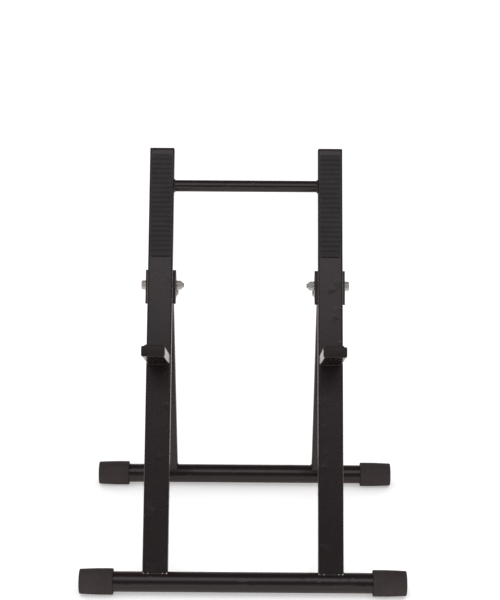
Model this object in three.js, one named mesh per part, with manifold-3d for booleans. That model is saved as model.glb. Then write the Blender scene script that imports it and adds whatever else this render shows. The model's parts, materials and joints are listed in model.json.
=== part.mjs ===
// Folding amp stand: an A-frame that tilts its load back on two arms.
// Millimetres, +Z up, +Y to the rear, +X to the right of someone facing the stand.
// The origin is on the floor, under the middle of the open stand.
import * as THREE from 'three';
import { mergeVertices } from 'three/addons/utils/BufferGeometryUtils.js';
import Module from 'manifold-3d';

const wasm = await Module();
wasm.setup();

// ---------------------------------------------------------------- driving dimensions

const seatGap = 0.3; // air left between pieces that touch
const cornerSteps = 2; // an outline's quarter round gets twice as many sides
const roundSteps = 3; // sides in a turned quarter round

// Foot bars: round tube with a rubber cap pushed over each end
const footTube = { diameter: 32, wall: 1.6, segments: 40 };
const footBarLength = 512; // over the caps
const footSpacing = 335; // front bar to rear bar, open
const footCap = { diameter: 41, outerEnd: 38.8, length: 53, endWall: 5, edge: 2, standingFlat: 0.5,
  segments: 36 };

// Legs: flat-sided tube, one pair in each frame
const legTube = { width: 40, thickness: 20, wall: 1.6, corner: 3.2 };
const legClearWidth = 235; // between the inner sides of a pair
const frontLean = THREE.MathUtils.degToRad(34); // from the vertical
const frontLegTop = 700; // foot bar axis to the top of the front leg

// Arms that carry the load, welded to the fronts of the front legs
const armTube = { width: 36, thickness: 16, wall: 1.6, corner: 2.6 };
const armReach = 145; // from the leg's front face to the arm's tip
const armHeight = 358; // foot bar axis to the arm's upper face, along the leg
const armDroop = THREE.MathUtils.degToRad(3); // below square to the leg

// Rubber pads on the arms and on the tops of the front legs
const armPad = { length: 106, width: 30, thickness: 4, corner: 4, edge: 1, fromLeg: 14 };
const backPad = { length: 170, width: 33, thickness: 4, corner: 4, edge: 1, fromTop: 12 };

// Push-in end plugs
const plug = { head: 4, edge: 1.2, depth: 16, ribs: 2, ribThickness: 1.6, ribHeight: 1.8 };

// Cross tube that ties the tops of the front legs together
const crossTube = { diameter: 19, wall: 1.5, fromTop: 62, segments: 28 };

// Pivot on the back of each front leg
const pivotHeight = 478; // foot bar axis to the pivot, along the leg
const bracket = { sheet: 3, bend: 4, bossRadius: 13, stopBossRadius: 8.5, cornerRadius: 3,
  above: 22, below: 34 };
const rearLegTop = 12; // pivot to the closed top of the rear leg
const rearLegEndWall = 2;
const sweepClearance = 0.8; // rear leg's top corner to the bracket
const bolt = { radius: 4, acrossFlats: 13, headHeight: 5.3, beyondNut: 2.4, chamfer: 0.6, segments: 20 };
const nut = { height: 8, collarHeight: 2, collarRadius: 5.6 };
const washer = { radius: 8, thickness: 1.6 };
const sleeveRadius = 6;
const bush = { wall: 1.5, depth: 7, flangeRadius: 11, flange: 1.2, segments: 24 };
const stopPin = { radius: 4, fromPivot: 20, headRadius: 6, headHeight: 2.2 };

// ---------------------------------------------------------------- worked-out dimensions

const footTubeRadius = footTube.diameter / 2;
const footAxisHeight = footCap.diameter / 2 - footCap.standingFlat;
const legCentre = legClearWidth / 2 + legTube.width / 2;
const halfLeg = legTube.thickness / 2;

// Distances behind the front leg's centre plane
const topCornerSweep = Math.hypot(halfLeg, rearLegTop);
const pivotOffset = halfLeg + seatGap + bracket.sheet + sweepClearance + topCornerSweep;

// The pivot seen from the side, from the front foot bar's axis
const pivotY = pivotHeight * Math.sin(frontLean) + pivotOffset * Math.cos(frontLean);
const pivotZ = pivotHeight * Math.cos(frontLean) - pivotOffset * Math.sin(frontLean);
const rearLean = Math.atan2(footSpacing - pivotY, pivotZ);
const rearLegLength = Math.hypot(footSpacing - pivotY, pivotZ);
const openAngle = frontLean + rearLean;

// Distances from a leg's centre, across the stand, along the pivot bolt
const flangeSeat = legTube.width / 2 + seatGap;
const earInside = flangeSeat + bush.flange + seatGap;
const earOutside = earInside + bracket.sheet;
const washerSeat = earOutside + seatGap;
const boltSeat = washerSeat + washer.thickness + seatGap;
const boltHole = bolt.radius + seatGap;
const bushBore = sleeveRadius + seatGap;
const bushRadius = bushBore + bush.wall;
const bushHole = bushRadius + seatGap;

// The stop pin behind the rear leg, from the pivot, in the front leg's own directions
const stopBehind = halfLeg + seatGap + stopPin.radius;
const stopY = stopPin.fromPivot * Math.sin(openAngle) + stopBehind * Math.cos(openAngle);
const stopZ = -stopPin.fromPivot * Math.cos(openAngle) + stopBehind * Math.sin(openAngle);

const sides = [['left', -1], ['right', 1]];

// ---------------------------------------------------------------- materials

const finishes = {
  paint: { color: 0x1d1b1a, roughness: 0.38, metalness: 0.25 },
  rubber: { color: 0x242120, roughness: 0.82, metalness: 0 },
  plastic: { color: 0x262424, roughness: 0.55, metalness: 0 },
  zinc: { color: 0xa9abad, roughness: 0.32, metalness: 0.95 },
  nylon: { color: 0xcfcabc, roughness: 0.6, metalness: 0 },
};

function mesh(name, geometry, finish) {
  const piece = new THREE.Mesh(geometry, new THREE.MeshStandardMaterial(finishes[finish]));
  piece.name = name;
  return piece;
}

// ---------------------------------------------------------------- joining and cutting

function toSolid(geometry) {
  const bare = geometry.clone();
  bare.deleteAttribute('normal');
  bare.deleteAttribute('uv');
  const merged = mergeVertices(bare, 1e-4);
  const corners = Array.from(merged.index.array);
  const triangles = [];
  for (let i = 0; i < corners.length; i += 3) {
    const [a, b, c] = corners.slice(i, i + 3);
    if (a !== b && b !== c && c !== a) triangles.push(a, b, c);
  }
  return new wasm.Manifold(new wasm.Mesh({
    numProp: 3,
    vertProperties: new Float32Array(merged.attributes.position.array),
    triVerts: new Uint32Array(triangles),
  }));
}

function toGeometry(solid) {
  const { vertProperties, triVerts } = solid.getMesh();
  const geometry = new THREE.BufferGeometry();
  geometry.setAttribute('position', new THREE.BufferAttribute(vertProperties, 3));
  geometry.setIndex(new THREE.BufferAttribute(triVerts, 1));
  geometry.computeVertexNormals();
  return geometry;
}

function join(...geometries) {
  const solids = geometries.map(toSolid);
  return toGeometry(solids.reduce((whole, next) => whole.add(next)));
}

function cut(geometry, ...tools) {
  const start = toSolid(geometry);
  return toGeometry(tools.map(toSolid).reduce((whole, tool) => whole.subtract(tool), start));
}

function common(first, second) {
  return toGeometry(toSolid(first).intersect(toSolid(second)));
}

// ---------------------------------------------------------------- outlines and stock

// Angle at which a tight belt leaves one circle for the next, going anticlockwise
function leavingAngle([x0, y0, r0], [x1, y1, r1]) {
  return Math.atan2(y1 - y0, x1 - x0) - Math.acos((r0 - r1) / Math.hypot(x1 - x0, y1 - y0));
}

// Outline of a belt round circles, each [x, y, radius], in anticlockwise order
function beltOutline(circles) {
  const outline = new THREE.Shape();
  circles.forEach((circle, i) => {
    const [x, y, radius] = circle;
    const before = circles[(i + circles.length - 1) % circles.length];
    const after = circles[(i + 1) % circles.length];
    outline.absarc(x, y, radius, leavingAngle(before, circle), leavingAngle(circle, after));
  });
  return outline;
}

function roundedRectangle(width, height, corner) {
  const x = width / 2 - corner;
  const y = height / 2 - corner;
  return beltOutline([[x, y, corner], [-x, y, corner], [-x, -y, corner], [x, -y, corner]]);
}

function circleOutline(radius) {
  return new THREE.Shape().absarc(0, 0, radius, 0, 2 * Math.PI);
}

function extrude(outline, depth, curveSegments = cornerSteps) {
  return new THREE.ExtrudeGeometry(outline, { depth, curveSegments, bevelEnabled: false });
}

// Flat-sided tube along +Z from the origin
function flatTube({ width, thickness, wall, corner }, length) {
  const outline = roundedRectangle(width, thickness, corner);
  outline.holes.push(roundedRectangle(width - 2 * wall, thickness - 2 * wall, corner - wall));
  return extrude(outline, length);
}

// Ring or round tube along +Z from the origin; its segments put a flat facet on the -Y side
function ring(radius, bore, length, segments) {
  const outline = circleOutline(radius);
  outline.holes.push(circleOutline(bore));
  return extrude(outline, length, segments / 2).rotateZ(Math.PI / segments);
}

// Solid round bar along +Z from the origin
function rod(radius, length, segments) {
  return extrude(circleOutline(radius), length, segments / 2).rotateZ(Math.PI / segments);
}

// Solid of revolution about Z from [radius, height] points that start and end on the axis
function turned(points, segments) {
  const profile = points.map(([radius, height]) => new THREE.Vector2(radius, height));
  return new THREE.LatheGeometry(profile, segments).rotateX(Math.PI / 2);
}

// Points of a quarter round about [r, z], starting at an angle
function quarter(r, z, radius, start) {
  return Array.from({ length: roundSteps + 1 }, (_, i) => {
    const angle = start + (Math.PI / 2) * (i / roundSteps);
    return [r + radius * Math.cos(angle), z + radius * Math.sin(angle)];
  });
}

function box(width, depth, height, x, y, z) {
  return new THREE.BoxGeometry(width, depth, height).translate(x, y, z);
}

// Turns a piece made along +Z to lie along +X
function alongX(geometry) {
  return geometry.rotateX(Math.PI / 2).rotateZ(Math.PI / 2);
}

// ---------------------------------------------------------------- foot bars

function footBarGeometry() {
  const length = footBarLength - 2 * (footCap.endWall + seatGap);
  const bar = ring(footTubeRadius, footTubeRadius - footTube.wall, length, footTube.segments);
  return alongX(bar.translate(0, 0, -length / 2));
}

// Rubber cap: a tapering cup with soft edges and a narrow moulded flat to stand on.
// Made along +X, with its open rim at the origin.
function footCapGeometry() {
  const { length, edge, endWall, diameter, outerEnd } = footCap;
  const rim = diameter / 2;
  const end = outerEnd / 2;
  const bore = footTubeRadius + seatGap;
  const fullTo = length / 3;
  const cup = turned([
    [0, length - endWall],
    [bore, length - endWall],
    [bore, 0],
    [rim - edge / 2, 0],
    [rim, edge / 2],
    [rim, fullTo],
    [(2 * rim + end) / 3, (length + fullTo) / 2],
    ...quarter(end - edge, length - edge, edge, 0),
    [0, length],
  ], footCap.segments);
  const under = box(diameter, diameter, 3 * length, 0, -footAxisHeight - diameter / 2, 0);
  return alongX(cut(cup, under));
}

function footBar(end) {
  const bar = new THREE.Group();
  bar.add(mesh(`${end}_foot_bar`, footBarGeometry(), 'paint'));
  for (const [side, out] of sides) {
    const cap = mesh(`${end}_foot_cap_${side}`, footCapGeometry(), 'rubber');
    cap.position.x = out * (footBarLength / 2 - footCap.length);
    cap.rotation.z = out < 0 ? Math.PI : 0;
    bar.add(cap);
  }
  return bar;
}

// ---------------------------------------------------------------- legs, arms and cross tube

// The round saddle that lets a leg's end sit on its foot bar
function saddle() {
  const radius = footTubeRadius + seatGap;
  const cylinder = new THREE.CylinderGeometry(radius, radius, 2 * legTube.width, footTube.segments);
  return cylinder.rotateZ(Math.PI / 2);
}

// Both legs start at their foot bar's axis and run along +Z
function frontLegGeometry() {
  return cut(flatTube(legTube, frontLegTop - plug.head - seatGap), saddle());
}

function rearLegGeometry() {
  const { width, thickness, wall, corner } = legTube;
  const length = rearLegLength + rearLegTop;
  const outside = extrude(roundedRectangle(width, thickness, corner), length);
  const inside = extrude(
    roundedRectangle(width - 2 * wall, thickness - 2 * wall, corner - wall),
    length - rearLegEndWall,
  );
  const pivotHole = alongX(rod(bushHole, 2 * width, bush.segments)).translate(-width, 0, rearLegLength);
  return cut(outside, inside, saddle(), pivotHole);
}

// The arm runs along -Y from the leg's face, with its upper face at z = 0.
// Its root is cut to lie against the leg.
function armGeometry() {
  const behind = armTube.thickness;
  const length = behind + armReach - plug.head - seatGap;
  const tube = flatTube(armTube, length).rotateX(Math.PI / 2);
  tube.translate(0, behind, -armTube.thickness / 2);
  const spare = 4 * armTube.width;
  const legSide = box(spare, spare, spare, 0, spare / 2 - seatGap, 0).rotateX(-armDroop);
  return cut(tube, legSide);
}

function crossTubeGeometry() {
  const length = legClearWidth - 2 * seatGap;
  const radius = crossTube.diameter / 2;
  const tube = ring(radius, radius - crossTube.wall, length, crossTube.segments);
  return alongX(tube.translate(0, 0, -length / 2));
}

// ---------------------------------------------------------------- pads and plugs

// Slab on z = 0 with a rounded upper rim
function softSlab(outline, height, edge) {
  const slab = new THREE.ExtrudeGeometry(outline, {
    depth: 2 * (height - edge),
    curveSegments: cornerSteps,
    bevelThickness: edge,
    bevelSize: edge,
    bevelOffset: -edge,
    bevelSegments: cornerSteps,
  }).translate(0, 0, edge - height);
  const spare = 1000;
  return cut(slab, box(spare, spare, spare, 0, 0, -spare / 2));
}

function padGeometry({ length, width, thickness, corner, edge }) {
  return softSlab(roundedRectangle(width, length, corner), thickness, edge);
}

// Push-in plug for a flat-sided tube that ends at z = 0: a head as large as the tube,
// and a body with ribs that grip the bore
function plugGeometry({ width, thickness, wall, corner }) {
  const head = softSlab(roundedRectangle(width, thickness, corner), plug.head, plug.edge);
  const boreCorner = corner - wall;
  const bore = inset => roundedRectangle(
    width - 2 * (wall + inset),
    thickness - 2 * (wall + inset),
    boreCorner,
  );
  const body = extrude(bore(seatGap + plug.ribHeight), plug.depth + seatGap + plug.head / 2);
  const pieces = [head.translate(0, 0, seatGap), body.translate(0, 0, -plug.depth)];
  for (let i = 0; i < plug.ribs; i += 1) {
    const rib = extrude(bore(seatGap), plug.ribThickness);
    pieces.push(rib.translate(0, 0, -plug.depth * ((i + 1) / plug.ribs) + plug.ribThickness));
  }
  return join(...pieces);
}

// ---------------------------------------------------------------- pivot

// U bracket bent from sheet: the back of the U is welded to the leg, and its two ears
// hold the bolt at y = z = 0 and the stop pin behind and below it
function bracketGeometry() {
  const { sheet, bend, bossRadius, stopBossRadius, cornerRadius, above, below } = bracket;
  const front = halfLeg + seatGap - pivotOffset;
  const depth = 2 * (pivotOffset + stopY + stopBossRadius);
  const height = 2 * (above + below);
  const section = (halfWidth, start, corner) => {
    const outline = roundedRectangle(2 * halfWidth, depth, corner);
    return extrude(outline, height).translate(0, start + depth / 2, -height / 2);
  };
  const channel = cut(
    section(earOutside, front, bend),
    section(earInside, front + sheet, bend - sheet),
  );
  const webCorner = height => [front + cornerRadius, height, cornerRadius];
  const pivotBoss = [0, 0, bossRadius];
  const stopBoss = [stopY, stopZ, stopBossRadius];
  const ear = circles => {
    const width = 4 * earOutside;
    return alongX(extrude(beltOutline(circles), width, 3 * cornerSteps)).translate(-width / 2, 0, 0);
  };
  const ears = join(
    ear([webCorner(cornerRadius - below), pivotBoss, webCorner(above - cornerRadius)]),
    ear([pivotBoss, stopBoss]),
  );
  const hole = (radius, y, z) => {
    const width = 4 * earOutside;
    return alongX(rod(radius, width, bolt.segments)).translate(-width / 2, y, z);
  };
  return cut(
    common(channel, ears),
    hole(boltHole, 0, 0),
    hole(stopPin.radius + seatGap, stopY, stopZ),
  );
}

// Hexagon along +Z with its upper corners turned away
function hexagon(height) {
  const flat = bolt.acrossFlats / 2;
  const corner = flat / Math.cos(Math.PI / 6);
  const prism = new THREE.CylinderGeometry(corner, corner, height, 6);
  prism.rotateX(Math.PI / 2).translate(0, 0, height / 2);
  const slope = (corner - flat) * Math.tan(Math.PI / 6);
  const chamfer = turned([[0, 0], [corner, 0], [corner, height - slope], [flat, height], [0, height]], 24);
  return common(prism, chamfer);
}

// Bolt along X: head on the outer side, threaded end past the nut
function boltGeometry() {
  const { radius, chamfer, headHeight, segments } = bolt;
  const end = -(boltSeat + nut.height + bolt.beyondNut);
  const shank = turned([
    [0, end],
    [radius - chamfer, end],
    [radius, end + chamfer],
    [radius, boltSeat + headHeight / 2],
    [0, boltSeat + headHeight / 2],
  ], segments);
  return alongX(join(hexagon(headHeight).translate(0, 0, boltSeat), shank));
}

// Lock nut: a hexagon with a round collar that holds its nylon ring
function nutGeometry() {
  const { height, collarHeight, collarRadius } = nut;
  const hexHeight = height - collarHeight;
  const collar = turned([
    [0, 0],
    [collarRadius, 0],
    ...quarter(collarRadius - collarHeight / 2, height - collarHeight / 2, collarHeight / 2, 0),
    [0, height],
  ], bolt.segments);
  const bore = rod(boltHole, 3 * height, bolt.segments).translate(0, 0, -height);
  const body = cut(join(hexagon(hexHeight), collar), bore);
  return alongX(body).rotateZ(Math.PI).translate(-boltSeat, 0, 0);
}

function washerGeometry(start) {
  const disc = ring(washer.radius, boltHole, washer.thickness, bolt.segments);
  return alongX(disc).translate(start, 0, 0);
}

function sleeveGeometry() {
  const half = earInside - seatGap;
  return alongX(ring(sleeveRadius, boltHole, 2 * half, bush.segments)).translate(-half, 0, 0);
}

// Flanged bush for the outer wall of the rear leg
function bushGeometry() {
  const flanged = turned([
    [0, -bush.depth],
    [bushRadius, -bush.depth],
    [bushRadius, 0],
    [bush.flangeRadius, 0],
    [bush.flangeRadius, bush.flange],
    [0, bush.flange],
  ], bush.segments);
  const bore = rod(bushBore, 4 * bush.depth, bush.segments).translate(0, 0, -2 * bush.depth);
  return alongX(cut(flanged, bore)).translate(flangeSeat, 0, 0);
}

// Stop pin across the ears, riveted over at both ends
function stopPinGeometry() {
  const { radius, headRadius, headHeight } = stopPin;
  const seat = earOutside + seatGap;
  const dome = headHeight / 2;
  const half = [
    [radius, seat],
    [headRadius, seat],
    ...quarter(headRadius - dome, seat + headHeight - dome, dome, 0),
    [0, seat + headHeight],
  ];
  const otherHalf = half.map(([r, z]) => [r, -z]).reverse();
  return alongX(turned([...otherHalf, ...half], bolt.segments));
}

// ---------------------------------------------------------------- assembly

function supportArm(side, out) {
  const arm = new THREE.Group();
  arm.position.set(out * legCentre, -halfLeg, armHeight);
  arm.rotation.x = armDroop;

  const endPlug = mesh(`arm_end_plug_${side}`, plugGeometry(armTube), 'plastic');
  endPlug.position.set(0, plug.head + seatGap - armReach, -armTube.thickness / 2);
  endPlug.rotation.x = Math.PI / 2;

  const pad = mesh(`arm_pad_${side}`, padGeometry(armPad), 'rubber');
  pad.position.set(0, -armPad.fromLeg - armPad.length / 2, seatGap);

  arm.add(mesh(`support_arm_${side}`, armGeometry(), 'paint'), endPlug, pad);
  return arm;
}

function pivotHardware(side, out) {
  const hardware = new THREE.Group();
  hardware.rotation.z = out < 0 ? Math.PI : 0;
  hardware.add(
    mesh(`pivot_bolt_${side}`, boltGeometry(), 'zinc'),
    mesh(`pivot_nut_${side}`, nutGeometry(), 'zinc'),
    mesh(`pivot_washer_outer_${side}`, washerGeometry(washerSeat), 'zinc'),
    mesh(`pivot_washer_inner_${side}`, washerGeometry(-washerSeat - washer.thickness), 'zinc'),
    mesh(`pivot_sleeve_${side}`, sleeveGeometry(), 'zinc'),
  );
  return hardware;
}

function frontUpright(side, out) {
  const upright = new THREE.Group();
  const x = out * legCentre;

  const leg = mesh(`front_leg_${side}`, frontLegGeometry(), 'paint');
  leg.position.x = x;

  const topPlug = mesh(`leg_top_plug_${side}`, plugGeometry(legTube), 'plastic');
  topPlug.position.set(x, 0, frontLegTop - plug.head - seatGap);

  const pad = mesh(`back_pad_${side}`, padGeometry(backPad), 'rubber');
  pad.position.set(x, -halfLeg - seatGap, frontLegTop - backPad.fromTop - backPad.length / 2);
  pad.rotation.x = Math.PI / 2;

  const pivot = new THREE.Group();
  pivot.position.set(x, pivotOffset, pivotHeight);
  const stop = mesh(`stop_pin_${side}`, stopPinGeometry(), 'zinc');
  stop.position.set(0, stopY, stopZ);
  pivot.add(mesh(`pivot_bracket_${side}`, bracketGeometry(), 'paint'), pivotHardware(side, out), stop);

  upright.add(leg, topPlug, pad, supportArm(side, out), pivot);
  return upright;
}

function frontFrame() {
  const leaning = new THREE.Group();
  leaning.rotation.x = -frontLean;
  sides.forEach(([side, out]) => leaning.add(frontUpright(side, out)));

  const tie = mesh('backrest_cross_tube', crossTubeGeometry(), 'paint');
  tie.position.z = frontLegTop - crossTube.fromTop;
  leaning.add(tie);

  const frame = new THREE.Group();
  frame.position.z = footAxisHeight;
  frame.add(footBar('front'), leaning);
  return frame;
}

// The rear frame hangs from the pivot, which is its group's origin
function rearFrame() {
  const frame = new THREE.Group();
  frame.position.set(0, pivotY, footAxisHeight + pivotZ);
  frame.rotation.x = rearLean;

  for (const [side, out] of sides) {
    const leg = mesh(`rear_leg_${side}`, rearLegGeometry(), 'paint');
    leg.position.set(out * legCentre, 0, -rearLegLength);
    frame.add(leg);

    for (const [face, turn] of [['outer', out], ['inner', -out]]) {
      const bushing = mesh(`pivot_bush_${face}_${side}`, bushGeometry(), 'nylon');
      bushing.position.x = out * legCentre;
      bushing.rotation.z = turn < 0 ? Math.PI : 0;
      frame.add(bushing);
    }
  }

  const foot = footBar('rear');
  foot.position.z = -rearLegLength;
  foot.rotation.x = -rearLean;
  frame.add(foot);
  return frame;
}

const stand = new THREE.Group();
stand.add(frontFrame(), rearFrame());

const bounds = new THREE.Box3().setFromObject(stand, true);
stand.position.y = -(bounds.min.y + bounds.max.y) / 2;

export default stand;
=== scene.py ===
"""Looks of a folding amp stand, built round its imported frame.

Metres, +Z up, +Y to the rear. Powder-coated steel tube, rubber foot caps and pads, plastic
end plugs, and zinc-plated pivot hardware with nylon bushes.
"""
import json
import math
import random

import bmesh
import bpy
from mathutils import Matrix, Vector


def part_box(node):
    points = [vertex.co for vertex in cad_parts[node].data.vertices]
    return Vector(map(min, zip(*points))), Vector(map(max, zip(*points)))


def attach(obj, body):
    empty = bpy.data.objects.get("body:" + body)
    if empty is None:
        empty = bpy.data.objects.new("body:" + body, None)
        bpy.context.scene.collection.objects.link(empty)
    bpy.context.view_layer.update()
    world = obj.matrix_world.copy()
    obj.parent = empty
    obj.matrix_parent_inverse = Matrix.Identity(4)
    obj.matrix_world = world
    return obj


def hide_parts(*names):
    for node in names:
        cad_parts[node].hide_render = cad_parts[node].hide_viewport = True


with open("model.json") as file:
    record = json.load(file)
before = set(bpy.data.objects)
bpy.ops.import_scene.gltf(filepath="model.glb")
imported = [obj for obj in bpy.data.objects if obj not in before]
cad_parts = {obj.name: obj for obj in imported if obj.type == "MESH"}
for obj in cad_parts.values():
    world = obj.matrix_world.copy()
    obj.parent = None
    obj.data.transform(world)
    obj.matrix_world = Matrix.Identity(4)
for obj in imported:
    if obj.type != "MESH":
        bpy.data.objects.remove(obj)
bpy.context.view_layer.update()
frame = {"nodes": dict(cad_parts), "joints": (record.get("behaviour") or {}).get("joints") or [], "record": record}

# ---------------------------------------------------------------- driving dimensions

MM = 0.001
SIDES = (("left", -1), ("right", 1))
ENDS = (("front", "front_frame"), ("rear", "rear_frame"))

SEAT_GAP = 0.3 * MM      # between pieces that touch or are welded together
TUBE_WALL = 1.6 * MM
CROSS_TUBE_WALL = 1.5 * MM
REAR_LEG_TOP_WALL = 2 * MM
LEG_CORNER = 3.2 * MM
ARM_CORNER = 2.6 * MM
SMALLEST_CORNER = 0.2 * MM

CAP_END_WALL = 5 * MM
CAP_RIM_EDGE = 1.3 * MM
CAP_END_EDGE = 1.2 * MM
CAP_STRAIGHT = 0.4       # share of the length before the taper
CAP_TAPER = 1.1 * MM     # less radius at the outer end
CAP_TAPER_POWER = 1.2    # above 1 the taper starts gently
CAP_TAPER_STEPS = 8
CAP_CROWN = 0.25 * MM
CAP_CROWN_STEPS = 6
CAP_POLE_RADIUS = 0.3 * MM  # of the small disc in the middle of an end

PLUG_HEAD = 4 * MM
PLUG_EDGE = 1.2 * MM
PLUG_UNDER_EDGE = 0.3 * MM
PLUG_DOME = 0.35 * MM
PLUG_DOME_STEPS = 4
PLUG_FLAT = 1.2 * MM     # half the short side of the flat on top of the dome
PLUG_DEPTH = 16 * MM
PLUG_RIBS = 2
PLUG_RIB_HEIGHT = 1.8 * MM
PLUG_RIB_THICKNESS = 1.6 * MM
PLUG_RIB_LEAD = PLUG_RIB_THICKNESS / 3

PAD_CORNER = 4 * MM
PAD_EDGE = 1.1 * MM
PAD_UNDER_EDGE = 0.2 * MM
PAD_GROOVE_PITCH = 8 * MM
PAD_GROOVE_RADIUS = 1.1 * MM
PAD_GROOVE_DEPTH = 0.9 * MM
PAD_GROOVE_SIDES = 16

WELD_RADIUS = 1.7 * MM
WELD_RIPPLE = 3 * MM
WELD_VALLEY = 0.72       # between two ripples, as a share of WELD_RADIUS
WELD_SWELL = 0.30        # from a valley to the crest of a ripple
WELD_SWELL_POWER = 0.6   # below 1 the crests are broad and the valleys narrow
WELD_DRIFT = 0.08        # slow change of the size along the run
WELD_DRIFT_LENGTH = 4.3 * WELD_RIPPLE
WELD_TREMBLE = 0.03
WELD_END = 0.15          # an open run's ends start at the square root of this share
WELD_END_LENGTH = 1.5 * WELD_RADIUS
WELD_STEPS = 6           # rings in one ripple
WELD_SIDES = 10
WELD_INSET = 0.3 * MM    # the bead's centre line inside the outline of the tube it holds
CROSS_WELD_STANDOFF = 0.2 * MM  # the same, outside the cross tube's
ARM_WELD_SIZE = 0.75
BRACKET_WELD_INSET = 4 * MM  # from the bracket's outer faces
BRACKET_WELD_STOP = 3 * MM   # from the bracket's upper and lower edges
BARE_SPOT = 1.6 * MM     # half the length of a bare spot where a run starts or stops
BARE_SPOT_PLACES = (-0.46, -0.27, 0.30, 0.46)  # across a front leg's face, in leg widths

FRONT_LEG_SEED = 11      # every bead varies by its own seed, counted from these
REAR_LEG_SEED = 21
ARM_SEED = 31
CROSS_TUBE_SEED = 41
BRACKET_SEED = 51

HEX_FLATS = 13 * MM
HEX_ROUND = 0.96         # radius of the round top face, in half widths across flats
HEX_CHAMFER = math.tan(math.radians(30))
HEX_SIDES = 60           # points round a hexagon or a bolt, a multiple of six
BOLT_RADIUS = 4 * MM
BOLT_HEAD = 5.3 * MM
BOLT_DISH = ((0.36, 0.15 * MM), (0.30, 0.35 * MM))  # radius in widths across flats, depth
BOLT_POINT = 0.3 * MM    # the end's radius is this much under the thread's root
BOLT_CHAMFER = 0.8 * MM
THREAD_PITCH = 1.25 * MM
THREAD_DEPTH = 0.55 * MM
THREAD_LENGTH = 14 * MM
THREAD_STEPS = 6         # rings in one turn
THREAD_RUNOUT = 10       # rings over which it fades

NUT_CLEARANCE = 0.1 * MM
NUT_COLLAR_RADIUS = 5.6 * MM
NUT_COLLAR_HEIGHT = 2 * MM
NUT_COLLAR_EDGE = 0.9 * MM
NUT_COLLAR_LIP = 0.2 * MM
NYLON_OUTER_DEPTH = 0.35 * MM  # of the nylon ring under the collar's top
NYLON_INNER_DEPTH = 0.45 * MM

RING_EDGE = 0.2 * MM     # of washers and sleeves
BUSH_WALL = 1.5 * MM
BUSH_FLANGE = 1.2 * MM
BUSH_EDGE = 0.35 * MM
PIN_RADIUS = 4 * MM
PIN_HEAD = 2.2 * MM
PIN_DOME = 1.2 * MM
PIN_EDGE = 0.15 * MM
PIN_FLAT = 0.35          # of the head's radius

SHEET_EDGE = 0.35 * MM   # width of a broken edge of the bracket's sheet
SHEET_SHARP = math.radians(40)
SHEET_FLAT = math.radians(1)
SHEET_MERGE = 0.005 * MM

CORNER_STEPS = 8         # sides in an outline's quarter round
ROUND_STEPS = 6          # sides in an edge's quarter round
TUBE_SIDES = 96
SMALL_SIDES = 48
SMOOTH_ANGLE = math.radians(32)


# ---------------------------------------------------------------- places taken from the frame

def middle(box):
    return (box[0] + box[1]) / 2


def local_box(node, place):
    """Lowest and highest corner of a CAD node in the coordinates of a place."""
    back = place.inverted()
    points = [back @ v.co for v in frame["nodes"][node].data.vertices]
    return Vector(map(min, zip(*points))), Vector(map(max, zip(*points)))


def turned_about_x(angle):
    return Matrix.Rotation(angle, 4, "X")


def leaning_place(lower, upper):
    """A place on a foot bar's axis whose +Z runs to a higher axis that is parallel to it."""
    reach = upper - lower
    return Matrix.Translation(lower) @ turned_about_x(-math.atan2(reach.y, reach.z))


foot_axis = {end: middle(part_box(f"{end}_foot_bar")) for end, _ in ENDS}
pivot = Vector(frame["joints"][0]["pos_m"])
leg_centre = middle(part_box("front_leg_right")).x
mounts = {m["name"]: m for m in frame["record"]["mounts"]}
arm_up = Vector(mounts["arm_pad_face_left"]["axis"])

FRONT = leaning_place(foot_axis["front"], middle(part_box("backrest_cross_tube")))
REAR = leaning_place(foot_axis["rear"], pivot)
ARM_TURN = turned_about_x(math.atan2(-arm_up.y, arm_up.z))
BACK_TURN = FRONT.to_3x3().to_4x4() @ turned_about_x(math.pi / 2)


def beside(place, out):
    """The same place moved to the centre of the left or right leg."""
    return Matrix.Translation((out * leg_centre, 0, 0)) @ place


def along_x(out=1):
    """Turns a piece made along +Z to lie along +X, or along -X."""
    return Matrix.Rotation(out * math.pi / 2, 4, "Y")


# ---------------------------------------------------------------- materials

class Nodes:
    """Makes and links the nodes of one tree."""

    def __init__(self, tree):
        self.tree = tree

    def node(self, kind, settings=None, **inputs):
        """A node with its settings and inputs. An input's underscores stand for spaces."""
        made = self.tree.nodes.new(kind)
        for name, value in (settings or {}).items():
            setattr(made, name, value)
        for name, value in inputs.items():
            self.feed(value, made.inputs[name.replace("_", " ")])
        return made

    def feed(self, value, socket):
        """Links an output to a socket, or sets the socket's own value."""
        if isinstance(value, bpy.types.NodeSocket):
            self.tree.links.new(value, socket)
        elif socket.type == "RGBA":
            socket.default_value = (*value, 1)
        else:
            socket.default_value = value

    def mix(self, factor, first, second, blend="MIX"):
        settings = {"data_type": "RGBA", "blend_type": blend}
        made = self.node("ShaderNodeMix", settings, Factor=factor)
        for name, colour in (("A", first), ("B", second)):
            self.feed(colour, next(s for s in made.inputs if s.name == name and s.type == "RGBA"))
        return next(s for s in made.outputs if s.type == "RGBA")

    def calculate(self, operation, first, second):
        made = self.node("ShaderNodeMath", {"operation": operation})
        self.feed(first, made.inputs[0])
        self.feed(second, made.inputs[1])
        return made.outputs[0]

    def ramp(self, value, stops):
        """Colour by value, from (value, colour) stops in rising order."""
        made = self.node("ShaderNodeValToRGB")
        elements = made.color_ramp.elements
        while len(elements) < len(stops):
            elements.new(1.0)
        for element, (place, colour) in zip(elements, stops):
            element.position = place
            element.color = (*colour, 1)
        self.feed(value, made.inputs[0])
        return made.outputs["Color"]


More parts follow.
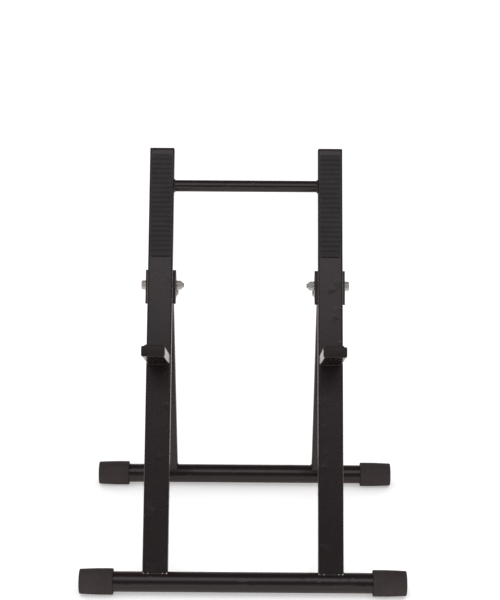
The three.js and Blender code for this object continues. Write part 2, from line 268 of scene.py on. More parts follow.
class Surface(Nodes):
    """A material with a principled shader and textures in the piece's own coordinates."""

    def __init__(self, name):
        self.material = bpy.data.materials.new(name)
        self.material.use_nodes = True
        super().__init__(self.material.node_tree)
        self.shader = self.tree.nodes["Principled BSDF"]
        self.place = self.node("ShaderNodeTexCoord").outputs["Object"]

    def noise(self, scale, detail=3.0, roughness=0.55):
        inputs = {"Vector": self.place, "Scale": scale, "Detail": detail, "Roughness": roughness}
        return self.node("ShaderNodeTexNoise", **inputs).outputs["Fac"]

    def spread(self, value, low, high, start=0.3, end=0.7):
        """Maps the values of a texture from start..end to low..high."""
        inputs = {"From_Min": start, "From_Max": end, "To_Min": low, "To_Max": high}
        return self.node("ShaderNodeMapRange", Value=value, **inputs).outputs["Result"]

    def bump(self, height, distance, below=None):
        made = self.node("ShaderNodeBump", Height=height, Strength=1.0, Distance=distance)
        if below is not None:
            self.feed(below, made.inputs["Normal"])
        return made.outputs["Normal"]

    def finish(self, colour, roughness, normal, metallic=0.0, ior=1.5):
        self.feed(colour, self.shader.inputs["Base Color"])
        self.feed(roughness, self.shader.inputs["Roughness"])
        self.feed(normal, self.shader.inputs["Normal"])
        self.feed(metallic, self.shader.inputs["Metallic"])
        self.feed(ior, self.shader.inputs["IOR"])
        return self.material


METAL = {"metallic": 1.0, "ior": 2.0}
PAINT_DARK, PAINT_LIGHT = (0.0105, 0.0062, 0.0069), (0.0140, 0.0084, 0.0092)
SCUFF_DULLING = 0.08     # more roughness in a scuffed patch
BARE_DARK, BARE_LIGHT = (0.42, 0.40, 0.39), (0.72, 0.70, 0.68)
BARE_HEIGHT = 0.10 * MM
ZINC_BLUISH, ZINC_YELLOWISH = (0.52, 0.53, 0.55), (0.66, 0.65, 0.60)
ZINC_MARK_HEIGHT = 0.015 * MM
MOULD_VARIATION = 0.05   # of the roughness, either way


def powder_coat(
    name, smoothest, roughest, peel_height, peel_scale=620, fine_height=0.02 * MM, scuff_depth=0.0,
):
    """Satin black paint with orange peel, finer grain over it and a faint warm mottle. A scuffed
    coat has small dull patches of dents here and there."""
    paint = Surface(name)
    mottle = paint.spread(paint.noise(scale=22, detail=4), 0, 1)
    colour = paint.mix(mottle, PAINT_DARK, PAINT_LIGHT)
    roughness = paint.spread(paint.noise(scale=430), smoothest, roughest)
    normal = paint.bump(paint.noise(peel_scale), peel_height)
    normal = paint.bump(paint.noise(scale=1900, detail=2), fine_height, below=normal)
    if scuff_depth:
        patch = paint.spread(paint.noise(scale=32, detail=2), 0, 1, start=0.58, end=0.72)
        dulling = paint.calculate("MULTIPLY", patch, SCUFF_DULLING)
        roughness = paint.calculate("ADD", roughness, dulling)
        dents = paint.calculate("MULTIPLY", patch, paint.noise(scale=170, detail=2))
        normal = paint.bump(dents, scuff_depth, below=normal)
    return paint.finish(colour, roughness, normal)


def bare_weld():
    """Bright weld metal that the paint has missed."""
    metal = Surface("bare_weld")
    colour = metal.mix(metal.spread(metal.noise(scale=500), 0, 1), BARE_DARK, BARE_LIGHT)
    roughness = metal.spread(metal.noise(scale=800), 0.25, 0.45)
    normal = metal.bump(metal.noise(scale=900), BARE_HEIGHT)
    return metal.finish(colour, roughness, normal, **METAL)


def moulded(name, dark, light, roughness, grain_scale, grain_height, ior=1.5):
    """Rubber or plastic from a textured mould."""
    mould = Surface(name)
    mottle = mould.spread(mould.noise(scale=35, detail=5), 0, 1)
    colour = mould.mix(mottle, dark, light)
    smoothest, roughest = roughness - MOULD_VARIATION, roughness + MOULD_VARIATION
    rough = mould.spread(mould.noise(scale=175), smoothest, roughest)
    grain = mould.noise(grain_scale, roughness=0.65)
    return mould.finish(colour, rough, mould.bump(grain, grain_height), ior=ior)


def zinc_plate():
    """Bright zinc with a faint passivation tint and fine handling marks."""
    zinc = Surface("zinc_plate")
    tint = zinc.spread(zinc.noise(scale=90, detail=4), 0, 1)
    colour = zinc.mix(tint, ZINC_BLUISH, ZINC_YELLOWISH)
    roughness = zinc.spread(zinc.noise(scale=700), 0.22, 0.38)
    normal = zinc.bump(zinc.noise(scale=2600, detail=2), ZINC_MARK_HEIGHT)
    return zinc.finish(colour, roughness, normal, **METAL)


PAINT = powder_coat(
    "powder_coat", smoothest=0.15, roughest=0.25, peel_height=0.06 * MM, scuff_depth=0.8 * MM,
)
ARM_PAINT = powder_coat(
    "powder_coat_on_arm", smoothest=0.15, roughest=0.23, peel_height=0.02 * MM,
    fine_height=0.01 * MM,
)
LEG_PAINT = powder_coat(
    "powder_coat_on_flat_tube", smoothest=0.22, roughest=0.34, peel_height=0.05 * MM,
    peel_scale=300, scuff_depth=0.6 * MM,
)
WELD_PAINT = powder_coat(
    "powder_coat_on_weld", smoothest=0.16, roughest=0.28, peel_height=0.10 * MM,
)
BARE_WELD = bare_weld()
CAP_RUBBER = moulded(
    "cap_rubber", dark=(0.0255, 0.0170, 0.0168), light=(0.0365, 0.0262, 0.0258),
    roughness=0.72, grain_scale=1500, grain_height=0.08 * MM,
)
PAD_RUBBER = moulded(
    "pad_rubber", dark=(0.0135, 0.0115, 0.0115), light=(0.0185, 0.0160, 0.0160),
    roughness=0.66, grain_scale=2200, grain_height=0.06 * MM,
)
PLASTIC = moulded(
    "plug_plastic", dark=(0.0110, 0.0065, 0.0065), light=(0.0140, 0.0085, 0.0085),
    roughness=0.46, grain_scale=2600, grain_height=0.05 * MM, ior=1.42,
)
NYLON = moulded(
    "bush_nylon", dark=(0.60, 0.57, 0.49), light=(0.68, 0.65, 0.57),
    roughness=0.42, grain_scale=900, grain_height=0.02 * MM,
)
ZINC = zinc_plate()


# ---------------------------------------------------------------- outlines and meshes

def rounded_rectangle(width, height, corner, inset=0.0):
    """Anticlockwise outline, drawn in by inset. It has the same number of points at any inset."""
    radius = max(corner - inset, SMALLEST_CORNER)
    x = width / 2 - inset - radius
    y = height / 2 - inset - radius
    points = []
    for quarter, (cx, cy) in enumerate([(x, y), (-x, y), (-x, -y), (x, -y)]):
        for step in range(CORNER_STEPS + 1):
            angle = (quarter + step / CORNER_STEPS) * math.pi / 2
            points.append((cx + radius * math.cos(angle), cy + radius * math.sin(angle)))
    return points


def circle(radius, sides):
    angles = [2 * math.pi * i / sides for i in range(sides)]
    return [(radius * math.cos(angle), radius * math.sin(angle)) for angle in angles]


def quarter_round(r, z, radius, start):
    """(radius, z) points of a quarter round about (r, z), from a start angle in degrees."""
    angles = [math.radians(start + 90 * i / ROUND_STEPS) for i in range(ROUND_STEPS + 1)]
    return [(r + radius * math.cos(a), z + radius * math.sin(a)) for a in angles]


def soft_edge(radius, shoulder):
    """(inset, z) points of a rounded upper edge that starts at the height of its shoulder."""
    angles = [math.pi / 2 * i / ROUND_STEPS for i in range(ROUND_STEPS + 1)]
    return [(radius * (1 - math.cos(a)), shoulder + radius * math.sin(a)) for a in angles]


def level(outline, z):
    return [(x, y, z) for x, y in outline]


def skin(loops, ring=False, turn=0):
    """Closed mesh over a stack of loops with equally many points. The end loops are filled,
    or, in a ring, joined to each other with the first one turned by some points."""
    count, rows = len(loops[0]), len(loops)
    faces = []
    for row in range(rows if ring else rows - 1):
        low, high = row * count, (row + 1) % rows * count
        shift = turn if high == 0 else 0
        for i in range(count):
            j = (i + 1) % count
            faces.append((low + i, low + j, high + (j + shift) % count, high + (i + shift) % count))
    if not ring:
        faces.append(tuple(reversed(range(count))))
        faces.append(tuple(range((rows - 1) * count, rows * count)))
    mesh = bpy.data.meshes.new("piece")
    mesh.from_pydata([p for loop in loops for p in loop], [], faces)
    return mesh


def lathe(profile, sides, ring=False):
    """Solid of revolution about Z from (radius, z) points that run upwards on the outside."""
    return skin([level(circle(r, sides), z) for r, z in profile], ring)


def add_piece(name, mesh, place, material, body, node=None, second_material=None):
    """Puts a mesh in its place, in the frame's own coordinates, and lets it ride on a body."""
    mesh.transform(place)
    mesh.name = name
    mesh.polygons.foreach_set("use_smooth", [True] * len(mesh.polygons))
    mesh.set_sharp_from_angle(angle=SMOOTH_ANGLE)
    mesh.materials.append(material)
    if second_material:
        mesh.materials.append(second_material)
    obj = bpy.data.objects.new(name, mesh)
    bpy.context.scene.collection.objects.link(obj)
    normals = obj.modifiers.new("even_faces", "WEIGHTED_NORMAL")
    normals.keep_sharp = True
    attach(obj, body)
    if node:
        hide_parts(node)
    return obj


def cut(mesh, cutter):
    """The mesh less a second one, both closed."""
    target = bpy.data.objects.new("target", mesh)
    tool = bpy.data.objects.new("tool", cutter)
    for obj in (target, tool):
        bpy.context.scene.collection.objects.link(obj)
    boolean = target.modifiers.new("cut", "BOOLEAN")
    boolean.operation = "DIFFERENCE"
    boolean.solver = "EXACT"
    boolean.object = tool
    shapes = bpy.context.evaluated_depsgraph_get()
    made = bpy.data.meshes.new_from_object(target.evaluated_get(shapes))
    for obj in (target, tool):
        bpy.data.objects.remove(obj)
    return made


def stack_meshes(meshes):
    """Several closed meshes as one."""
    joined = bmesh.new()
    for mesh in meshes:
        joined.from_mesh(mesh)
    made = bpy.data.meshes.new("piece")
    joined.to_mesh(made)
    joined.free()
    return made


# ---------------------------------------------------------------- welds

def bead_radius(distance, phase):
    """Radius of a weld bead along its run, with the scallops that its puddles leave."""
    swell = WELD_SWELL * abs(math.sin(math.pi * distance / WELD_RIPPLE)) ** WELD_SWELL_POWER
    drift = WELD_DRIFT * math.sin(distance / WELD_DRIFT_LENGTH * 2 * math.pi + phase)
    return WELD_RADIUS * (WELD_VALLEY + swell + drift)


def resample(points, closed, pitch):
    """Points at an even pitch along a polyline, with the distance of each."""
    ends = points + [points[0]] if closed else points
    lengths = [(b - a).length for a, b in zip(ends, ends[1:])]
    total = sum(lengths)
    count = round(total / pitch)
    made, i, done = [], 0, 0.0
    for k in range(count if closed else count + 1):
        at = total * k / count
        while i < len(lengths) - 1 and done + lengths[i] < at:
            done += lengths[i]
            i += 1
        made.append((ends[i].lerp(ends[i + 1], (at - done) / lengths[i]), at))
    return made


def least_twist(last, first):
    """By how many points a bead's first loop is turned against its last one."""
    count = len(first)

    def twist(turn):
        return sum((last[i] - first[(i + turn) % count]).length for i in range(count))

    return min(range(count), key=twist)


def weld(name, path, body, seed, closed=True, bare_spots=(), size=1.0):
    """A rippled bead along a path of points in the frame's coordinates, bare at some spots."""
    rng = random.Random(seed)
    phase = rng.uniform(0, 2 * math.pi)
    points = resample(path, closed, WELD_RIPPLE / WELD_STEPS)
    length = points[-1][1]
    run = [point for point, _ in points]
    before = (run[-1:] if closed else run[:1]) + run[:-1]
    after = run[1:] + (run[:1] if closed else run[-1:])
    loops = []
    for (point, distance), last, following in zip(points, before, after):
        tangent = (following - last).normalized()
        across = across - across.dot(tangent) * tangent if loops else tangent.orthogonal()
        across = across.normalized()
        other = tangent.cross(across)
        radius = size * bead_radius(distance, phase)
        radius *= rng.uniform(1 - WELD_TREMBLE, 1 + WELD_TREMBLE)
        if not closed:
            from_end = min(distance, length - distance)
            radius *= math.sqrt(min(1.0, WELD_END + from_end / WELD_END_LENGTH))
        ring = [x * across + y * other for x, y in circle(1, WELD_SIDES)]
        loops.append([point + radius * direction for direction in ring])
    mesh = skin(loops, closed, least_twist(loops[-1], loops[0]) if closed else 0)
    for polygon in mesh.polygons:
        near = [spot for spot in bare_spots if (polygon.center - spot).length < BARE_SPOT]
        polygon.material_index = 1 if near else 0
    bare = BARE_WELD if bare_spots else None
    place = Matrix.Identity(4)
    add_piece(name, mesh, place, WELD_PAINT, body, second_material=bare)


# ---------------------------------------------------------------- round tubes and foot caps

def round_tube(node, thickness, body):
    """A round tube along X, made along +Z. Gives its radius, half its length and its place."""
    low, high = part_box(node)
    outside = (high.z - low.z) / 2
    inside = outside - thickness
    half = (high.x - low.x) / 2
    wall = [(outside, -half), (outside, half), (inside, half), (inside, -half)]
    place = Matrix.Translation(middle((low, high))) @ along_x()
    mesh = lathe(wall, TUBE_SIDES, ring=True)
    add_piece(f"{node}_tube", mesh, place, PAINT, body, node)
    return outside, half, place


def foot_cap(end, body, side, out, tube_radius):
    """A tapering rubber cup with a crowned end and soft edges, flat where it stands."""
    node = f"{end}_foot_cap_{side}"
    low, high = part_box(node)
    length = high.x - low.x
    rim = (high.y - low.y) / 2
    bore = tube_radius + SEAT_GAP
    taper_from = length * CAP_STRAIGHT
    taper_to = length - CAP_CROWN - CAP_END_EDGE
    crown_radius = rim - CAP_TAPER - CAP_END_EDGE
    profile = [
        (CAP_POLE_RADIUS, length - CAP_END_WALL),
        (bore, length - CAP_END_WALL),
        (bore, CAP_RIM_EDGE / 2),
        (bore + CAP_RIM_EDGE / 2, 0),
        *quarter_round(rim - CAP_RIM_EDGE, CAP_RIM_EDGE, CAP_RIM_EDGE, -90),
        (rim, taper_from / 2),
        (rim, taper_from),
    ]
    for i in range(1, CAP_TAPER_STEPS):
        share = i / CAP_TAPER_STEPS
        drop = CAP_TAPER * share ** CAP_TAPER_POWER
        profile.append((rim - drop, taper_from + (taper_to - taper_from) * share))
    profile += quarter_round(crown_radius, taper_to, CAP_END_EDGE, 0)
    for i in range(1, CAP_CROWN_STEPS):
        left = 1 - i / CAP_CROWN_STEPS
        profile.append((crown_radius * left, length - CAP_CROWN * left ** 2))
    profile.append((CAP_POLE_RADIUS, length))
    mesh = lathe(profile, TUBE_SIDES)
    inner = low.x if out > 0 else high.x
    mesh.transform(Matrix.Translation((inner, foot_axis[end].y, foot_axis[end].z)) @ along_x(out))
    for vertex in mesh.vertices:
        vertex.co.z = max(vertex.co.z, low.z)
    add_piece(f"{node}_rubber", mesh, Matrix.Identity(4), CAP_RUBBER, body, node)


def cross_tube():
    node = "backrest_cross_tube"
    radius, half, place = round_tube(node, CROSS_TUBE_WALL, "front_frame")
    for side, out in SIDES:
        end = place @ Matrix.Translation((0, 0, out * half))
        outline = circle(radius + CROSS_WELD_STANDOFF, SMALL_SIDES)
        path = [end @ Vector((x, y, 0)) for x, y in outline]
        weld(f"{node}_weld_{side}", path, "front_frame", CROSS_TUBE_SEED + out)


# ---------------------------------------------------------------- flat-sided tubes

def saddle(radius, y):
    """Height over a foot bar's axis of a leg's coped end, at a distance y from the axis."""
    return math.sqrt(radius ** 2 - y ** 2)


def leg_tube(width, thickness, bar_radius, top, top_wall=0.0):
    """Wall of a leg that is coped to its foot bar. With a top wall its upper end is closed
    and slightly rounded."""
    def coped(outline):
        return [(x, y, saddle(bar_radius + SEAT_GAP, y)) for x, y in outline]

    outer = rounded_rectangle(width, thickness, LEG_CORNER)
    inner = rounded_rectangle(width, thickness, LEG_CORNER, TUBE_WALL)
    if not top_wall:
        return skin([coped(outer), level(outer, top), level(inner, top), coped(inner)], ring=True)
    edge = top_wall / 2
    rounding = [
        level(rounded_rectangle(width, thickness, LEG_CORNER, inset), z)
        for inset, z in soft_edge(edge, top - edge)
    ]
    return skin([level(inner, top - top_wall), coped(inner), coped(outer), *rounding])


def foot_weld(node, place, width, thickness, bar_radius, body, seed, bare_spots=()):
    outline = rounded_rectangle(width, thickness, LEG_CORNER, WELD_INSET)
    path = [place @ Vector((x, y, saddle(bar_radius, y))) for x, y in outline]
    weld(f"{node}_foot_weld", path, body, seed, bare_spots=bare_spots)


def front_leg(side, out, bar_radius):
    """Gives the leg's width and thickness."""
    node = f"front_leg_{side}"
    place = beside(FRONT, out)
    low, high = local_box(node, place)
    width, thickness = high.x - low.x, high.y - low.y
    mesh = leg_tube(width, thickness, bar_radius, high.z)
    add_piece(f"{node}_tube", mesh, place, LEG_PAINT, "front_frame", node)
    y = -thickness / 2
    z = saddle(bar_radius, y) + WELD_RADIUS / 2
    spots = [place @ Vector((share * width, y, z)) for share in BARE_SPOT_PLACES]
    seed = FRONT_LEG_SEED + out
    foot_weld(node, place, width, thickness, bar_radius, "front_frame", seed, spots)
    return width, thickness


def rear_leg(side, out, bar_radius):
    """A leg with a closed top and a hole for the pivot's bushes."""
    node = f"rear_leg_{side}"
    place = beside(REAR, out)
    low, high = local_box(node, place)
    width, thickness = high.x - low.x, high.y - low.y
    mesh = leg_tube(width, thickness, bar_radius, high.z, REAR_LEG_TOP_WALL)
    hole_radius = bush_radius() + SEAT_GAP
    hole = lathe([(hole_radius, -width), (hole_radius, width)], SMALL_SIDES)
    rise = (pivot - foot_axis["rear"]).length
    hole.transform(Matrix.Translation((0, 0, rise)) @ along_x())
    add_piece(f"{node}_tube", cut(mesh, hole), place, LEG_PAINT, "rear_frame", node)
    foot_weld(node, place, width, thickness, bar_radius, "rear_frame", REAR_LEG_SEED + out)


def support_arm(side, out, leg_thickness):
    """The arm runs forward from the leg. Its root is cut to lie against the leg's face."""
    node = f"support_arm_{side}"
    low, high = local_box(node, ARM_TURN)
    width, thickness = high.x - low.x, high.z - low.z
    tip = ARM_TURN @ Vector((out * leg_centre, low.y, middle((low, high)).z))
    place = Matrix.Translation(tip) @ ARM_TURN @ turned_about_x(-math.pi / 2)
    face_point = FRONT @ Vector((0, -leg_thickness / 2 - SEAT_GAP, 0))
    face_normal = FRONT.to_3x3() @ Vector((0, -1, 0))
    along = place.to_3x3() @ Vector((0, 0, 1))

    def rooted(outline):
        """The outline carried along the arm to the leg's face."""
        points = []
        for x, y in outline:
            gap = face_point - place @ Vector((x, y, 0))
            points.append((x, y, gap.dot(face_normal) / along.dot(face_normal)))
        return points

    outer = rounded_rectangle(width, thickness, ARM_CORNER)
    inner = rounded_rectangle(width, thickness, ARM_CORNER, TUBE_WALL)
    mesh = skin([level(outer, 0), rooted(outer), rooted(inner), level(inner, 0)], ring=True)
    add_piece(f"{node}_tube", mesh, place, ARM_PAINT, "front_frame", node)
    seam = rooted(rounded_rectangle(width, thickness, ARM_CORNER, WELD_INSET))
    path = [place @ Vector(point) for point in seam]
    weld(f"{node}_root_weld", path, "front_frame", ARM_SEED + out, size=ARM_WELD_SIZE)
    plug_place = place @ turned_about_x(math.pi)
    end_plug(f"arm_end_plug_{side}", plug_place, width, thickness, ARM_CORNER)


def end_plug(node, place, width, thickness, corner):
    """Push-in plug for a flat-sided tube that ends at z = 0: a head as large as the tube,
    with a soft edge and a slight dome, and a ribbed body inside the tube."""
    def at(inset, z):
        return level(rounded_rectangle(width, thickness, corner, inset), z)

    grip = TUBE_WALL + SEAT_GAP
    body = grip + PLUG_RIB_HEIGHT
    loops = []
    for i in reversed(range(PLUG_RIBS)):
        foot = -PLUG_DEPTH * (i + 1) / PLUG_RIBS
        top = foot + PLUG_RIB_THICKNESS
        loops += [at(body, foot), at(grip + PLUG_RIB_LEAD, foot), at(grip, foot + PLUG_RIB_LEAD)]
        loops += [at(grip, top), at(body, top)]
    loops += [at(body, SEAT_GAP), at(PLUG_UNDER_EDGE, SEAT_GAP), at(0, PLUG_UNDER_EDGE + SEAT_GAP)]
    shoulder = SEAT_GAP + PLUG_HEAD - PLUG_DOME - PLUG_EDGE
    loops += [at(inset, z) for inset, z in soft_edge(PLUG_EDGE, shoulder)]
    reach = thickness / 2 - PLUG_EDGE - PLUG_FLAT
    for i in range(1, PLUG_DOME_STEPS + 1):
        share = i / PLUG_DOME_STEPS
        rise = PLUG_DOME * (1 - (1 - share) ** 2)
        loops.append(at(PLUG_EDGE + reach * share, shoulder + PLUG_EDGE + rise))
    add_piece(f"{node}_moulding", skin(loops), place, PLASTIC, "front_frame", node)


def top_plug(side, out, leg_width, leg_thickness):
    place = beside(FRONT, out)
    _, high = local_box(f"front_leg_{side}", place)
    leg_top = place @ Matrix.Translation((0, 0, high.z))
    end_plug(f"leg_top_plug_{side}", leg_top, leg_width, leg_thickness, LEG_CORNER)


# ---------------------------------------------------------------- pads

def pad(node, turn):
    """A firm rubber strip with a soft rim and shallow grooves across it."""
    low, high = local_box(node, turn)
    width, length, thickness = high.x - low.x, high.y - low.y, high.z - low.z
    sides = [(PAD_UNDER_EDGE, 0), (0, PAD_UNDER_EDGE), *soft_edge(PAD_EDGE, thickness - PAD_EDGE)]
    loops = [level(rounded_rectangle(width, length, PAD_CORNER, inset), z) for inset, z in sides]
    count = int((length - 2 * PAD_CORNER) / PAD_GROOVE_PITCH)
    lift = thickness + PAD_GROOVE_RADIUS - PAD_GROOVE_DEPTH
    grooves = []
    for i in range(count):
        y = (i - (count - 1) / 2) * PAD_GROOVE_PITCH
        profile = [(PAD_GROOVE_RADIUS, -width), (PAD_GROOVE_RADIUS, width)]
        groove = lathe(profile, PAD_GROOVE_SIDES)
        groove.transform(Matrix.Translation((0, y, lift)) @ along_x())
        grooves.append(groove)
    mesh = cut(skin(loops), stack_meshes(grooves))
    seat = Vector(((low.x + high.x) / 2, (low.y + high.y) / 2, low.z))
    place = turn @ Matrix.Translation(seat)
    made = add_piece(f"{node}_strip", mesh, place, PAD_RUBBER, "front_frame", node)


# ---------------------------------------------------------------- pivots

def hexagon_loops(height, z):
    """Loops of a hexagonal head from z up, its upper corners turned away."""
    half = HEX_FLATS / 2
    full = half * HEX_ROUND
    low, shoulder, top = [], [], []
    for i in range(HEX_SIDES):
        angle = 2 * math.pi * i / HEX_SIDES
        off = (angle + math.pi / 6) % (math.pi / 3) - math.pi / 6
        radius = half / math.cos(off)
        x, y = math.cos(angle), math.sin(angle)
        low.append((radius * x, radius * y, z))
        shoulder.append((radius * x, radius * y, z + height - (radius - full) * HEX_CHAMFER))
        top.append((full * x, full * y, z + height))
    return [low, shoulder, top]


def thread_loop(z, depth, widest):
    """Loop round a bolt at z, in a thread of that depth, no wider than its chamfered point."""
    points = []
    for i in range(HEX_SIDES):
        share = (z / THREAD_PITCH - i / HEX_SIDES) % 1
        radius = min(BOLT_RADIUS - depth * abs(2 * share - 1), widest)
        angle = 2 * math.pi * i / HEX_SIDES
        points.append((radius * math.cos(angle), radius * math.sin(angle), z))
    return points


def bolt(place, node):
    """Hexagon bolt along +Z, its head outside, its thread running out past the nut."""
    low, high = local_box(node, place)
    rings = int(THREAD_LENGTH / (THREAD_PITCH / THREAD_STEPS))
    loops = [level(circle(BOLT_RADIUS - THREAD_DEPTH - BOLT_POINT, HEX_SIDES), low.z)]
    for k in range(1, rings + 1):
        z = low.z + k * THREAD_PITCH / THREAD_STEPS
        depth = THREAD_DEPTH * min(1.0, (rings - k) / THREAD_RUNOUT)
        loops.append(thread_loop(z, depth, BOLT_RADIUS - BOLT_CHAMFER + (z - low.z)))
    seat = high.z - BOLT_HEAD
    loops.append(level(circle(BOLT_RADIUS, HEX_SIDES), seat))
    loops += hexagon_loops(BOLT_HEAD, seat)
    for share, depth in BOLT_DISH:
        loops.append(level(circle(HEX_FLATS * share, HEX_SIDES), high.z - depth))
    add_piece(f"{node}_steel", skin(loops), place, ZINC, "front_frame", node)


def nut(place, node):
    """Lock nut: a hexagon, a rolled collar and the nylon ring that it holds."""
    low, high = local_box(node, place)
    place = place @ turned_about_x(math.pi)
    start, top = -high.z, -low.z
    hex_height = top - start - NUT_COLLAR_HEIGHT
    bore = BOLT_RADIUS + NUT_CLEARANCE
    collar = NUT_COLLAR_RADIUS - NUT_COLLAR_EDGE
    rounds = [
        (NUT_COLLAR_RADIUS, start + hex_height),
        *quarter_round(collar, top - NUT_COLLAR_EDGE, NUT_COLLAR_EDGE, 0),
        (collar - NUT_COLLAR_LIP, top - NYLON_OUTER_DEPTH),
        (bore, top - NYLON_INNER_DEPTH),
    ]
    loops = [level(circle(bore, HEX_SIDES), start), *hexagon_loops(hex_height, start)]
    loops += [level(circle(r, HEX_SIDES), z) for r, z in rounds]
    nylon_row = len(loops) - 2
    mesh = skin(loops, ring=True)
    for polygon in mesh.polygons:
        polygon.material_index = 1 if polygon.index // HEX_SIDES == nylon_row else 0
    name = f"{node}_steel"
    add_piece(name, mesh, place, ZINC, "front_frame", node, second_material=NYLON)


def flat_ring(place, node):
    """Washer or sleeve on a bolt, along +Z, with softened edges."""
    low, high = local_box(node, place)
    radius = (high.y - low.y) / 2
    bore = BOLT_RADIUS + SEAT_GAP
    profile = [
        (bore, high.z), (bore, low.z), (radius - RING_EDGE, low.z), (radius, low.z + RING_EDGE),
        (radius, high.z - RING_EDGE), (radius - RING_EDGE, high.z),
    ]
    mesh = lathe(profile, SMALL_SIDES, ring=True)
    add_piece(f"{node}_steel", mesh, place, ZINC, "front_frame", node)


def bush_radius():
    """Outer radius of a bush's barrel, which turns on the sleeve."""
    low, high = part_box("pivot_sleeve_right")
    return (high.z - low.z) / 2 + SEAT_GAP + BUSH_WALL


def bush(place, node):
    """Flanged bush along +Z, with the flange on its outer end."""
    low, high = local_box(node, place)
    radius, flange_radius = bush_radius(), (high.y - low.y) / 2
    bore = radius - BUSH_WALL
    under = high.z - BUSH_FLANGE
    profile = [
        (bore, high.z), (bore, low.z), (radius - BUSH_EDGE, low.z), (radius, low.z + BUSH_EDGE),
        (radius, under), (flange_radius - BUSH_EDGE, under), (flange_radius, under + BUSH_EDGE),
        (flange_radius, high.z - BUSH_EDGE), (flange_radius - BUSH_EDGE, high.z),
    ]
    mesh = lathe(profile, SMALL_SIDES, ring=True)
    add_piece(f"{node}_moulding", mesh, place, NYLON, "rear_frame", node)


def stop_pin(place, node):
    """Pin across the bracket, its ends riveted over to low domes."""
    low, high = local_box(node, place)
    head = (high.y - low.y) / 2
    seat = high.z - PIN_HEAD
    half = [
        (PIN_RADIUS, seat), (head - PIN_EDGE, seat), (head, seat + PIN_EDGE),
        *quarter_round(head - PIN_DOME, high.z - PIN_DOME, PIN_DOME, 0), (head * PIN_FLAT, high.z),
    ]
    mesh = lathe([(r, -z) for r, z in reversed(half)] + half, SMALL_SIDES)
    add_piece(f"{node}_steel", mesh, place, ZINC, "front_frame", node)


def bracket(side, out, leg_thickness):
    """Bent sheet bracket: the CAD shape with its sheared edges broken, welded to the leg."""
    node = f"pivot_bracket_{side}"
    shape = bmesh.new()
    shape.from_mesh(frame["nodes"][node].data)
    bmesh.ops.remove_doubles(shape, verts=shape.verts, dist=SHEET_MERGE)
    bmesh.ops.dissolve_limit(
        shape, angle_limit=SHEET_FLAT, verts=shape.verts, edges=shape.edges,
    )
    closed = [edge for edge in shape.edges if len(edge.link_faces) == 2]
    sharp = [edge for edge in closed if edge.calc_face_angle() > SHEET_SHARP]
    bmesh.ops.bevel(
        shape, geom=sharp, offset=SHEET_EDGE, offset_type="OFFSET", segments=2,
        profile=0.5, affect="EDGES", clamp_overlap=True,
    )
    mesh = bpy.data.meshes.new(node)
    shape.to_mesh(mesh)
    shape.free()
    add_piece(f"{node}_sheet", mesh, Matrix.Identity(4), PAINT, "front_frame", node)
    place = beside(FRONT, out)
    low, high = local_box(node, place)
    back = leg_thickness / 2
    reach = (high.x - low.x) / 2 - BRACKET_WELD_INSET
    for edge_name, x in (("inner", -out), ("outer", out)):
        ends = (low.z + BRACKET_WELD_STOP, high.z - BRACKET_WELD_STOP)
        path = [place @ Vector((x * reach, back, z)) for z in ends]
        seed = BRACKET_SEED + out + 3 * x
        weld(f"{node}_weld_{edge_name}", path, "front_frame", seed, closed=False)


def pivot_pieces(side, out):
    """One side's pivot bolt, all that it carries, and the stop pin."""
    axis = Matrix.Translation((out * leg_centre, pivot.y, pivot.z)) @ along_x(out)
    bolt(axis, f"pivot_bolt_{side}")
    nut(axis, f"pivot_nut_{side}")
    for ring_name in ("washer_outer", "washer_inner", "sleeve"):
        flat_ring(axis, f"pivot_{ring_name}_{side}")
    bush(axis, f"pivot_bush_outer_{side}")
    bush(axis @ turned_about_x(math.pi), f"pivot_bush_inner_{side}")
    pin = f"stop_pin_{side}"
    stop_pin(Matrix.Translation(middle(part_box(pin))) @ along_x(out), pin)


# ---------------------------------------------------------------- the stand

def build_stand():
    bar_radius = {}
    for end, body in ENDS:
        bar_radius[end], _, _ = round_tube(f"{end}_foot_bar", TUBE_WALL, body)
        for side, out in SIDES:
            foot_cap(end, body, side, out, bar_radius[end])
    for side, out in SIDES:
        leg_width, leg_thickness = front_leg(side, out, bar_radius["front"])
        rear_leg(side, out, bar_radius["rear"])
        support_arm(side, out, leg_thickness)
        top_plug(side, out, leg_width, leg_thickness)
        pad(f"arm_pad_{side}", ARM_TURN)
        pad(f"back_pad_{side}", BACK_TURN)
        bracket(side, out, leg_thickness)
        pivot_pieces(side, out)
    cross_tube()


# ---------------------------------------------------------------- floor, light and camera

FLOOR_SIZE = 30
FLOOR_DROP = 0.02 * MM   # under the feet
FLOOR_COLOUR = (0.84, 0.84, 0.84)
FLOOR_LIFT = (0.35, 0.35, 0.35)            # added where the camera sees the floor
FLOOR_LIFT_REFLECTED = (0.13, 0.07, 0.04)  # added where the paint reflects it

WORLD_WHITE = (1, 1, 1)
WORLD_LEVEL = (0.90, 0.90, 0.90)
HORIZON_TILT = 0.15      # the white reaches higher at the back than in front
# The studio that the paint reflects, in two parts of which the lighter one shows.
# Rise above the horizon as a sine, and the light there:
HORIZON = (
    (0.0, (0.70, 0.62, 0.59)), (0.20, (0.50, 0.45, 0.43)), (0.36, (0.26, 0.24, 0.23)),
    (0.52, (0.08, 0.08, 0.08)),
)
# Nearness to the softbox as a cosine, and the light there:
SOFTBOX_GLOW = (
    (0.77, (0, 0, 0)), (0.85, (0.08, 0.075, 0.075)), (0.90, (0.21, 0.195, 0.195)),
    (0.95, (0.32, 0.30, 0.30)), (1.0, (0.12, 0.12, 0.12)),
)
SOFTBOX_PLACE = (0, -1.25, 2.53)
SOFTBOX_TARGET = (0, 0, 0.25)
SOFTBOX_SIZE = (3.0, 1.5)
SOFTBOX_LIGHT = (1.16, 1.07, 1.10)

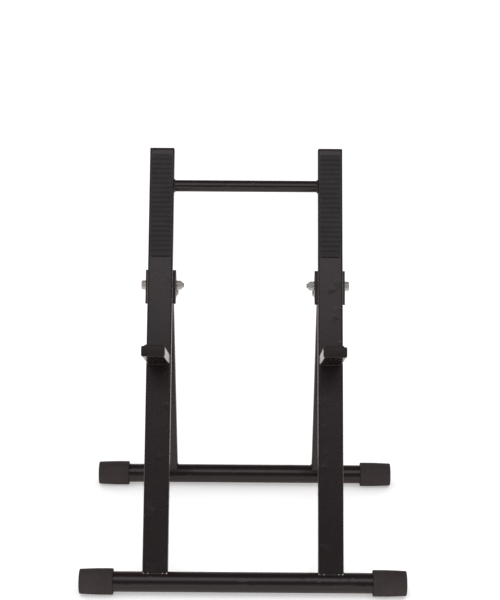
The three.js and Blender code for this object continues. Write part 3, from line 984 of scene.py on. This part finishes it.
PHOTO_HEIGHT = 600       # pixels, the long side
FOCAL_LENGTH = 1545.3    # pixels
SENSOR = 36.0
CAMERA_PLACE = (13.7 * MM, -2220.4 * MM, 1405.5 * MM)
CAMERA_PITCH = math.radians(23.945)
CAMERA_ROLL = math.radians(-0.328)
CAMERA_YAW = math.radians(-0.145)


def add_floor():
    """White paper that keeps the stand's shadow."""
    half = FLOOR_SIZE / 2
    mesh = bpy.data.meshes.new("floor")
    corners = [(-half, -half, 0), (half, -half, 0), (half, half, 0), (-half, half, 0)]
    mesh.from_pydata(corners, [], [(0, 1, 2, 3)])
    floor = bpy.data.objects.new("floor", mesh)
    floor.location.z = -FLOOR_DROP
    bpy.context.scene.collection.objects.link(floor)
    material = bpy.data.materials.new("floor_paper")
    material.use_nodes = True
    nodes = Nodes(material.node_tree)
    nodes.tree.nodes.clear()
    path = nodes.node("ShaderNodeLightPath").outputs
    seen = nodes.calculate("MAXIMUM", path["Is Camera Ray"], path["Is Transmission Ray"])
    reflected = nodes.mix(path["Is Glossy Ray"], (0, 0, 0), FLOOR_LIFT_REFLECTED)
    lift_colour = nodes.mix(seen, reflected, FLOOR_LIFT)
    lift = nodes.node("ShaderNodeEmission", Color=lift_colour, Strength=1.0)
    paper = nodes.node("ShaderNodeBsdfDiffuse", Color=FLOOR_COLOUR)
    both = nodes.node("ShaderNodeAddShader")
    nodes.feed(paper.outputs[0], both.inputs[0])
    nodes.feed(lift.outputs[0], both.inputs[1])
    nodes.node("ShaderNodeOutputMaterial", Surface=both.outputs[0])
    mesh.materials.append(material)


def add_world():
    """White to the camera, white near the horizon and dim above it in reflections, and an
    even soft level for the light that it gives."""
    world = bpy.data.worlds.new("studio")
    bpy.context.scene.world = world
    world.use_nodes = True
    nodes = Nodes(world.node_tree)
    nodes.tree.nodes.clear()
    direction = nodes.node("ShaderNodeTexCoord").outputs["Generated"]

    def along(axis):
        made = nodes.node("ShaderNodeVectorMath", {"operation": "DOT_PRODUCT"})
        nodes.feed(direction, made.inputs[0])
        nodes.feed(axis, made.inputs[1])
        return made.outputs["Value"]

    horizon = nodes.ramp(along(Vector((0, -HORIZON_TILT, 1))), HORIZON)
    glow = nodes.ramp(along(Vector(SOFTBOX_PLACE).normalized()), SOFTBOX_GLOW)
    studio = nodes.mix(1.0, horizon, glow, "LIGHTEN")
    path = nodes.node("ShaderNodeLightPath").outputs
    light = nodes.mix(path["Is Glossy Ray"], WORLD_LEVEL, studio)
    seen = nodes.calculate("MAXIMUM", path["Is Camera Ray"], path["Is Transmission Ray"])
    background = nodes.node("ShaderNodeBackground", Color=nodes.mix(seen, light, WORLD_WHITE))
    nodes.node("ShaderNodeOutputWorld", Surface=background.outputs[0])


def add_softbox():
    width, depth = SOFTBOX_SIZE
    data = bpy.data.lights.new("softbox", "AREA")
    data.shape = "RECTANGLE"
    data.size, data.size_y = width, depth
    brightest = max(SOFTBOX_LIGHT)
    data.color = [part / brightest for part in SOFTBOX_LIGHT]
    data.energy = brightest * math.pi * width * depth
    lamp = bpy.data.objects.new("softbox", data)
    lamp.location = SOFTBOX_PLACE
    aim = Vector(SOFTBOX_TARGET) - Vector(SOFTBOX_PLACE)
    lamp.rotation_euler = aim.to_track_quat("-Z", "Y").to_euler()
    bpy.context.scene.collection.objects.link(lamp)


def add_camera():
    data = bpy.data.cameras.new("camera")
    data.sensor_width = SENSOR
    data.lens = FOCAL_LENGTH * SENSOR / PHOTO_HEIGHT
    camera = bpy.data.objects.new("camera", data)
    look = Matrix.Rotation(-CAMERA_YAW, 4, "Z") @ turned_about_x(math.pi / 2 - CAMERA_PITCH)
    roll = Matrix.Rotation(-CAMERA_ROLL, 4, "Z")
    camera.matrix_world = Matrix.Translation(CAMERA_PLACE) @ look @ roll
    bpy.context.scene.collection.objects.link(camera)
    bpy.context.scene.camera = camera


build_stand()
add_floor()
add_world()
add_softbox()
add_camera()
bpy.context.scene.view_settings.view_transform = "Standard"
